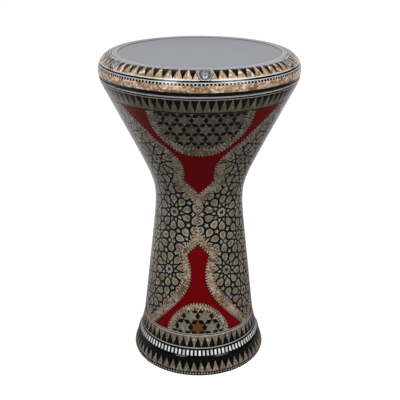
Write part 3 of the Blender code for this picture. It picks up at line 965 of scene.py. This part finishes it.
bodyPlan = Plan(-60.0, 60.0, 0.0, body["collarTop"], 1.3, 4.0)
bodyPlan.localScale = lambda z: math.radians(outside(z))
bodyPlan.riseScale = 1.0
fieldLeft = bodyPlan.area("black", [(-61.0, 56.0), (0.0, 56.0), (0.0, 395.0), (-61.0, 395.0)])
fieldRight = bodyPlan.area("black", [(0.0, 56.0), (61.0, 56.0), (61.0, 395.0), (0.0, 395.0)])
rosetteSheet(bodyPlan, fieldLeft, panel["sheetTurn"] - 60.0, 58.0, 393.0)
rosetteSheet(bodyPlan, fieldRight, panel["sheetTurn"] + 60.0, 58.0, 393.0)
seamArea = bodyPlan.area("black", box(0.0, seam["half"], seam["low"], seam["high"]))
for k in range(seam["count"]):
    for side in (-1, 1):
        middle = side * seam["chipTurn"]
        z = seam["first"] + seam["pitch"] * (k + 0.25 * (1 + side))
        chip = box(middle, seam["chipWide"], z - seam["chipHigh"], z + seam["chipHigh"])
        bodyPlan.tile(seamArea, "line", chip, (middle, z))
# the upper panel takes darker copies of the ribbon and star shells: painted shade under the ring
upperStars = panels(bodyPlan, upperRibbonOuter, upperRibbonInner, medallionOuter, medallionInner, 1,
                    "paintedShadeRibbon", "paintedShadeStar")
starLattice(bodyPlan, upperStars, "paintedShadeStar", stars["upperTurn"], stars["upperPitch"], stars["upperRow"],
            340.0, 396.0)
lowerStars = panels(bodyPlan, lowerRibbonOuter, lowerRibbonInner, archOuter, archInner, -1,
                    "ribbon", "star")
starLattice(bodyPlan, lowerStars, "star", stars["lowerTurn"], stars["lowerPitch"], stars["lowerRow"],
            56.0, 98.0, amber=((0, 0),))
layBands(bodyPlan, (
    # ground, lowest and highest edge, then what is set in it and from where to where
    ("black", 0.0, body["footLineTop"], dotted, "line", bands["dotCount"], 2.9, 4.7, 0.5),
    ("black", body["footLineTop"], body["flareTop"],
     toothed, "wedge", bands["flareCount"], 6.2, 19.6, 0.97),
    ("black", body["flareTop"], body["beadTop"]),
    ("black", body["beadTop"], body["keyTop"], dotted, "key", bands["keyCount"], 28.7, 35.5, 0.50),
    ("black", body["keyTop"], 38.3),
    ("line", 38.3, 39.6),
    ("black", 39.6, 40.6),
    ("black", 40.6, 55.9, toothed, "wedge", bands["wedgeCount"], 55.9, 40.8, 0.99),
    ("line", 55.9, 57.3),
    ("black", 57.3, 58.6),
    ("line", 58.6, 59.6),
    ("black", 394.6, 396.2),
    ("bowlWedge", 396.2, 397.6),
    ("black", 397.6, 413.2, toothed, "bowlWedge", bands["bowlCount"], 397.4, 413.0, 0.97, 1.0),
    ("line", 413.2, 414.1),
    ("black", 414.1, 416.0),
    ("line", 416.0, body["collarTop"]),
))

bodyRows = [body[name] for name in ("footEdge", "footLineTop", "flareTop")]
bodyRows += [22.2, 24.5, 26.8, body["beadTop"], body["keyTop"], 47.0, body["baseHeight"]]
bodyRows += [66.0 + 8.0 * k for k in range(41)]
bodyRows += [397.0, 402.0, 407.0, 411.0, 414.1, 416.0]
skins = {}
lay(bodyPlan, bands["columns"], bodyRows, bodyPoint, bodyNormal, skins)
print("body inlay cut:", {look: len(skin.faces) for look, skin in skins.items()})

thirds = range(1, 4)


def named(*stems):
    return [f"{stem}_{k}" for stem in stems for k in thirds]


for name, look, slot, stands in (
    ("rosette_petals", "petal", "lattice_pearl", named("rosette_field")),
    ("pale_stars_and_kites", "light", "lattice_pearl", []),
    ("shell_ribbons", "ribbon", "brown_pearl", named("lower_ribbon")),
    ("painted_shade_ribbons", "paintedShadeRibbon", "brown_pearl", named("upper_ribbon")),
    ("red_panels", "red", "red_lacquer", named("upper_red_panel", "lower_red_panel")),
    ("arch_stars", "star", "pearl_and_black", named("lower_arch_medallion")),
    ("medallion_stars", "paintedShadeStar", "pearl_and_black", named("upper_star_medallion")),
    ("band_wedges", "wedge", "pearl_and_black", ["foot_triangle_inlay", "foot_flare_inlay"]),
    ("bowl_wedges", "bowlWedge", "pearl_and_black", ["collar_triangle_inlay"]),
    ("foot_keys", "key", "pearl_and_black", ["foot_key_inlay"]),
    ("pale_lines_and_dots", "line", "pearl_and_black", ["foot_dotted_border"]),
    ("black_strapwork", "black", "black_lacquer", ["bowl_line_inlay", "foot_bead_moulding"]),
    ("amber_star", "amber", "pearl_and_black", []),
    ("garnet_beads", "garnet", "red_lacquer", []),
):
    asObject(name, skins[look], looks[look], "shell", slot, stands)
print("body inlay placed")

# the tuning ring's inlay
rim = {
    "columns": 24,
    "lowest": 107.4,  # degrees round the edge where the lacquer ends
    "wedges": 11,
    "wedgeHalf": 0.49,  # half its width at the foot, as a share of the pitch
    "wedgeTip": 0.04,
    "wedgeStart": 1.34,  # degrees from a screw to the first wedge
    "dots": 180,
    "hexWide": 10.6,
    "hexReach": 7.3,
}


def onEdge(x, y):  # degrees round the drum and round the edge, from millimetres across and out from a screw
    r = math.hypot(ring["screwCircle"] + y, x)
    turn = math.degrees(math.atan2(x, ring["screwCircle"] + y))
    return ring["screwTurn"] + turn, math.degrees(math.asin(min(1.0, (r - ring["centre"]) / ring["round"])))


def hexagon(grow):
    wide, reach = rim["hexWide"] + grow * 1.15, rim["hexReach"] + grow
    half = [(wide, 0.0), (0.5 * wide, reach), (-0.5 * wide, reach)]
    corners = half + [(-x, -y) for x, y in half]
    found = []
    for (x0, y0), (x1, y1) in zip(corners, corners[1:] + corners[:1]):
        found += [onEdge(x0 + (x1 - x0) * k / 3, y0 + (y1 - y0) * k / 3) for k in range(3)]
    return found


def circle(radius, count=28):
    turns = [2 * math.pi * k / count for k in range(count)]
    return [onEdge(radius * math.sin(turn), radius * math.cos(turn)) for turn in turns]


def screwWedges(plan, home, foot, tip):  # between each screw and the next
    pitch = (60.0 - 2 * rim["wedgeStart"]) / rim["wedges"]
    for side in (-1, 1):
        for k in range(rim["wedges"] + 1):
            middle = ring["screwTurn"] + side * (rim["wedgeStart"] + pitch * (k + 0.5))
            if abs(middle - ring["screwTurn"]) > 31.0 + pitch:
                continue
            outline = tooth(middle, rim["wedgeHalf"] * pitch, rim["wedgeTip"] * pitch, foot, tip)
            plan.tile(home, "rimWedge", outline, (middle, 40.0))


edgePlan = Plan(ring["screwTurn"] - 30.0, ring["screwTurn"] + 30.0, 0.5, rim["lowest"], 2.2, 3.0)
edgePlan.localScale = lambda t: edgePlan.scale
edgePlan.riseScale = math.radians(ring["round"])
layBands(edgePlan, (
    # as on the body, but the edges are degrees round the ring's rounded side
    ("black", 0.5, 15.0),
    ("lipLine", 2.2, 5.2),
    ("lipLine", 11.6, 13.8),
    ("black", 15.0, 56.5, screwWedges, 57.0, 15.0),
    ("line", 56.0, 59.8),
    ("black", 59.8, 66.2),
    ("line", 66.2, 68.8),
    ("black", 68.8, 76.2, dotted, "line", rim["dots"], 69.9, 75.3, 0.32),
    ("mosaic", 76.2, 99.0),
    ("black", 99.0, rim["lowest"]),
))
for look, grow in (("black", 0.35), ("line", -0.45), ("black", -1.00), ("line", -1.90), ("black", -2.45)):
    edgePlan.area(look, hexagon(grow))
edgePlan.area("black", circle(ring["boreRadius"] + 0.50))
edgePlan.area(None, circle(ring["boreRadius"] + 0.12))
edgeRows = [2.2 + 4.2 * k for k in range(25)]
edgeSkins = {}
lay(edgePlan, rim["columns"], edgeRows, ringPoint, ringNormal, edgeSkins, mirror=-1)
print("ring inlay cut:", {look: len(skin.faces) for look, skin in edgeSkins.items()})
sixths = range(1, 7)
for name, cut, look, slot, stands in (
    ("rim_wedges", "rimWedge", "rimWedge", "pearl_and_black", [f"rim_triangle_inlay_{k}" for k in sixths]),
    ("rim_mosaic", "mosaic", "mosaic", "brown_pearl", ["rim_pearl_band"]),
    ("rim_pale_lines", "line", "rimLine", "pearl_and_black",
     [f"rim_medallion_{k}" for k in sixths] + ["rim_line_inlay"]),
    ("lip_lines", "lipLine", "line", "pearl_and_black", []),
    ("rim_black_lines", "black", "rimBlack", "black_lacquer", ["rim_dotted_border"]),
):
    asObject(name, edgeSkins[cut], looks[look], "ring", slot, stands)
print("ring inlay placed")


# turned metal: casting, ring, hoop and screws
def deselect():
    if bpy.context.object and bpy.context.object.mode == "EDIT":
        bpy.ops.object.mode_set(mode="OBJECT")
    bpy.ops.object.select_all(action="DESELECT")


# a closed outline of (radius, height), spun round an upright axis
def turned(name, outline, steps, place=(0.0, 0.0)):
    deselect()
    bpy.ops.mesh.primitive_circle_add(vertices=len(outline), radius=0.01, location=(0.0, 0.0, 0.0))
    made = bpy.context.object
    made.name = name
    for vertex, (r, z) in zip(made.data.vertices, outline):
        vertex.co = (place[0] * mm + r * mm, place[1] * mm, z * mm)
    bpy.ops.object.mode_set(mode="EDIT")
    bpy.ops.mesh.select_all(action="SELECT")
    axis = place[0] * mm, place[1] * mm, 0.0
    bpy.ops.mesh.spin(steps=steps, angle=2 * math.pi, center=axis, axis=(0.0, 0.0, 1.0))
    bpy.ops.mesh.select_all(action="SELECT")
    bpy.ops.mesh.remove_doubles(threshold=1e-6)
    bpy.ops.mesh.normals_make_consistent(inside=False)
    bpy.ops.object.mode_set(mode="OBJECT")
    return made


def bore(target, sides, radius, depth, x, y, middle):
    bpy.ops.mesh.primitive_cylinder_add(vertices=sides, radius=radius * mm, depth=depth * mm,
                                        location=(x * mm, y * mm, middle * mm))
    cutter = bpy.context.object
    deselect()
    bpy.context.view_layer.objects.active = target
    target.select_set(True)
    step = target.modifiers.new("cut", "BOOLEAN")
    step.object = cutter
    step.operation = "DIFFERENCE"
    step.solver = "EXACT"
    bpy.ops.object.modifier_apply(modifier="cut")
    bpy.data.objects.remove(cutter, do_unlink=True)


def settle(made, material, angle=30.0):
    deselect()
    bpy.context.view_layer.objects.active = made
    made.select_set(True)
    bpy.ops.object.shade_smooth_by_angle(angle=math.radians(angle))
    made.data.materials.clear()
    made.data.materials.append(material)


def screwPlaces():
    for k in range(6):
        turn = math.radians(ring["screwTurn"] + 60.0 * k)
        yield ring["screwCircle"] * math.sin(turn), -ring["screwCircle"] * math.cos(turn)


casting = {
    "rounds": 144,
    "boreSides": 32,
    "boreRadius": 3.3,
    "boreDepth": 10.5,
    "boreMiddle": 414.25,
    "under": 0.16,  # how far the metal lies under the inlay
    "wall": 6.0,
    "neck": 110.9,
    "neckWall": 3.9,
    "edge": 445.0,
    "flange": 12.5,
    "flangeWide": 14.5,
    "footWall": 8.5,
}
outer = [0.0, 3.0, 6.5, 20.8, 24.5, 28.2, 36.4, 58.0, 120.0, 180.0]
outer += [200.0 + 10.0 * k for k in range(15)] + [360.0, 380.0, 397.0, 403.0, 409.0, 413.0, 415.5, 417.5]
outline = [(outside(z) - casting["under"], z) for z in outer]
neck, edge = casting["neck"], casting["edge"]
neckIn = neck - casting["neckWall"]
flangeLow = body["collarTop"] - casting["flange"]
outline += [
    (neck, body["collarTop"]), (neck, edge - 1.2), (neck - 0.4, edge - 0.4), (neck - 1.2, edge),
    (neckIn + 0.9, edge), (neckIn + 0.25, edge - 0.3), (neckIn, edge - 1.1), (neckIn, 411.0),
    (neckIn + 1.2, 407.5), (outside(flangeLow) - casting["flangeWide"], flangeLow),
]
inner = [396.0, 380.0, 360.0] + [340.0 - 10.0 * k for k in range(15)] + [180.0, 120.0, 58.0, 36.4]
outline += [(outside(z) - casting["wall"], z) for z in inner]
footIn = body["footRadius"] - casting["footWall"]
outline += [(footIn, 8.0), (footIn + 0.3, 1.0), (footIn + 1.1, 0.0)]
shell = turned("cast_shell", outline, casting["rounds"])
for x, y in screwPlaces():
    bore(shell, casting["boreSides"], casting["boreRadius"], casting["boreDepth"], x, y,
         casting["boreMiddle"])
settle(shell, looks["aluminium"])
finishPiece(shell, "shell", "cast_aluminium", ["shell_casting"])
print("casting turned")

lip = {
    "rounds": 180,
    "roundEnd": 106.9,  # degrees round the edge where the metal turns in
    "roundSteps": 18,
    "headSides": 40,  # the two bores of each screw, with their middles from under its head
    "headDepth": 20.0,
    "headMiddle": 9.7,
    "shaftSides": 32,
    "shaftDepth": 22.0,
    "shaftMiddle": -8.0,
    "outside": 114.2,  # the plain lip ends here, where the lacquer starts
    "low": 444.0,
    "under": 0.12,  # how far the metal lies under the inlay
    "hoopRoom": 112.2,  # radius of the hollow for the film's edge
    "step": 445.9,
}
outline = []
reach = ring["round"] - lip["under"]
for k in range(lip["roundSteps"] + 1):
    lean = math.radians(lip["roundEnd"] * k / lip["roundSteps"])
    outline.append((ring["centre"] + reach * math.sin(lean), ring["centreHeight"] + reach * math.cos(lean)))
inside, step = ring["lipRadius"], lip["step"]
outline += [
    (ring["bore"], ring["low"] + 0.1), (ring["bore"], ring["seat"]), (lip["hoopRoom"], ring["seat"]),
    (lip["hoopRoom"], step - 1.7), (inside + 1.2, step), (inside, step), (inside, step + 0.45),
    (inside + 0.3, step + 0.72), (inside + 1.0, step + 0.95), (inside + 2.3, step + 1.12),
    (ring["centre"] - 0.5, step + 1.18),
]
edgeRing = turned("rounded_ring", outline, lip["rounds"])
for x, y in screwPlaces():
    for part, radius in (("head", ring["boreRadius"]), ("shaft", ring["shaftBore"])):
        sides, depth, middle = (lip[part + name] for name in ("Sides", "Depth", "Middle"))
        bore(edgeRing, sides, radius, depth, x, y, ring["headLow"] + middle)
settle(edgeRing, looks["rimBlack"])
edgeRing.data.materials.append(looks["steel"])
edgeRing.data.materials.append(looks["lip"])
for polygon in edgeRing.data.polygons:
    faceX, faceY, faceZ = polygon.center / mm
    if faceZ > lip["low"] and math.hypot(faceX, faceY) < lip["outside"]:
        polygon.material_index = 2
    spots = [math.hypot(faceX - x, faceY - y) for x, y in screwPlaces()]
    if min(spots) < ring["boreRadius"] + 0.02:
        polygon.material_index = 1
finishPiece(edgeRing, "ring", "lacquered_ring", ["tuning_ring"])
print("ring turned and bored")

# head film, flat with a rolled edge over the bearing edge
film = {
    "rounds": 144,
    "top": 445.6,
    "thick": 0.3,
    "edge": 111.4,
    "foldOut": 114.9,
    "foldLow": 437.2,
    "crease": 106.1,  # where the film bends a little over the bearing edge
    "creaseDepth": 0.14,
}
top, thick, edge, crease = film["top"], film["thick"], film["edge"], film["crease"]
foldOut, foldLow = film["foldOut"], film["foldLow"]
outline = [
    (0.0, top - thick), (edge - 1.7, top - thick), (edge - 0.7, top - 0.7), (edge, top - 1.9),
    (edge, foldLow), (foldOut, foldLow), (foldOut, foldLow + thick), (edge + 0.35, foldLow + thick),
    (edge + 0.35, top - 1.8), (edge - 0.4, top - 0.55), (edge - 1.5, top), (crease + 0.5, top),
    (crease, top - film["creaseDepth"]), (crease - 0.5, top), (0.0, top),
]
head = turned("drum_head", outline, film["rounds"])
settle(head, looks["film"])
finishPiece(head, "ring", "grey_film", ["head_film"])
print("head laid")

nodes["flesh_hoop"].data.materials.clear()
nodes["flesh_hoop"].data.materials.append(looks["aluminium"])

screw = {
    "rounds": 40,
    "head": 5.0,
    "headTop": 441.6,
    "shaft": 3.0,
    "tip": 409.5,
    "hollow": 3.0,  # radius of the shallow hollow round the socket
    "socketSides": 6,
    "socketAcross": 5.0,
    "socketDepth": 3.0,
    "cutter": 6.0,
}
wide, top, shaft, tip, hollow = (screw[name] for name in ("head", "headTop", "shaft", "tip", "hollow"))
low = ring["headLow"]
outline = [
    (0.0, tip), (shaft - 0.6, tip), (shaft, tip + 0.7), (shaft, low), (wide - 0.25, low),
    (wide, low + 0.25), (wide, top - 0.75), (wide - 0.2, top - 0.25), (wide - 0.75, top),
    (hollow + 0.3, top), (hollow, top - 0.25), (0.0, top - 0.25),
]
for k, (x, y) in enumerate(screwPlaces()):
    bolt = turned(f"socket_screw_{k + 1}", outline, screw["rounds"], (x, y))
    bore(bolt, screw["socketSides"], screw["socketAcross"] / math.sqrt(3), screw["cutter"], x, y,
         top - screw["socketDepth"] + 0.5 * screw["cutter"])
    settle(bolt, looks["steel"])
    finishPiece(bolt, f"screw_{k + 1}", "steel_screw", [f"tuning_screw_{k + 1}"])
print("screws set")

# floor, light and camera
stage = {
    "floorColour": (0.18, 0.18, 0.18),
    "floorShade": (0.16, 0.16, 0.16),
    "floorGlow": 0.95,
    "world": 0.30,
    "backdrop": 0.72,  # how bright the lacquer sees the room behind and to the left
    "mirrored": 0.06,  # and the room before the drum
    "worldSeen": 1.0,
}


# what is seen is white, and what gloss mirrors is a room that is dim in front
def seenWhite(start, place, near, far):
    paths = start.tree.nodes.new("ShaderNodeLightPath")
    seen, through, glossy = (
        Wire(start.tree, paths.outputs[f"Is {name} Ray"]) for name in ("Camera", "Transmission", "Glossy")
    )
    alongX, alongY = splitVector(place)[:2]
    depths = {0: alongY - alongX * 0.5, 1: near, 2: far, 3: stage["mirrored"], 4: stage["backdrop"]}
    room = start.node("MapRange", {"interpolation_type": "SMOOTHSTEP"}, depths)
    return seen + through, glossy, room


deselect()
bpy.ops.mesh.primitive_circle_add(vertices=64, radius=9.0, fill_type="NGON", location=(0.0, 0.0, -0.0002))
floor = bpy.context.object
floor.name = "floor"
floorLook, start, shader = newLook("paleFloor", Roughness=0.9, Specular_IOR_Level=0.0)
place = start.node("TexCoord", {}, output=3)
cloud = noise(place, 3.0, 2.0)
seen, glossy, room = seenWhite(start, place, 0.0, 0.6)
seen = seen + glossy * room
feed(start, shader, Base_Color=cloud.mix(stage["floorColour"], stage["floorShade"]))
glow = start.node("Emission", {}, {"Color": (1.0, 1.0, 1.0), "Strength": seen * stage["floorGlow"]})
addition = start.tree.nodes.new("ShaderNodeAddShader")
start.tree.links.new(shader.outputs[0], addition.inputs[0])
start.tree.links.new(glow.socket, addition.inputs[1])
start.tree.links.new(addition.outputs[0], start.tree.nodes["Material Output"].inputs[0])
floor.data.materials.append(floorLook)

world = bpy.data.worlds.new("studio")
scene.world = world
world.use_nodes = True
tree = world.node_tree
background = tree.nodes["Background"]
background.inputs[0].default_value = (1.0, 1.0, 1.0, 1.0)
start = Wire(tree, None)
seen, glossy, room = seenWhite(start, start.node("TexCoord"), 0.1, 0.8)
strength = seen * (stage["worldSeen"] - stage["world"]) + stage["world"] + glossy * (room - stage["world"])
tree.links.new(strength.socket, background.inputs[1])

lamps = (
    # name, place, aimed at, size, power, and whether it lights matt surfaces, glossy ones or both
    ("top", (0.0, -0.1, 2.1), (0.0, 0.0, 0.35), (1.6, 1.2), 3.0, "matt"),
    ("left", (-0.88, -1.06, 1.58), (0.0, 0.0, 0.3), (0.65, 1.1), 15.7, "both"),
    ("right", (0.90, -1.08, 1.58), (0.0, 0.0, 0.3), (1.1, 1.1), 20.9, "both"),
    ("back", (0.0, 1.7, 1.4), (0.0, 0.0, 0.3), (1.4, 0.9), 4.0, "both"),
    ("left_gleam", (-0.86, -1.38, 1.42), (0.0, -0.13, 0.43), (0.52, 1.7), 24.0, "gleam"),
    ("right_gleam", (1.07, -1.23, 1.42), (0.0, -0.13, 0.43), (0.72, 1.7), 26.0, "gleam"),
)
for name, place, aim, size, power, kind in lamps:
    lamp = bpy.data.lights.new(name, "AREA")
    lamp.shape = "RECTANGLE"
    lamp.size, lamp.size_y = size
    lamp.energy = power
    holder = bpy.data.objects.new(name, lamp)
    scene.collection.objects.link(holder)
    holder.location = place
    holder.rotation_euler = (Vector(aim) - Vector(place)).to_track_quat("-Z", "Y").to_euler()
    holder.visible_diffuse = kind != "gleam"
    holder.visible_glossy = kind != "matt"

eye = {
    "place": (0.0, -0.96924, 0.62856),
    "tilt": 67.789,
    "roll": 0.18876,
    "lens": 65.47,
    "shift": 0.0024,
}
lens = bpy.data.cameras.new("camera")
camera = bpy.data.objects.new("camera", lens)
scene.collection.objects.link(camera)
lens.lens, lens.sensor_width, lens.shift_x = eye["lens"], 36.0, eye["shift"]
lens.clip_start, lens.clip_end = 0.05, 60.0
tilt, roll = (math.radians(eye[name]) for name in ("tilt", "roll"))
camera.matrix_world = (Matrix.Translation(eye["place"]) @ Matrix.Rotation(tilt, 4, "X")
                       @ Matrix.Rotation(roll, 4, "Z"))
scene.camera = camera
scene.view_settings.view_transform = "Standard"
print("studio lit")
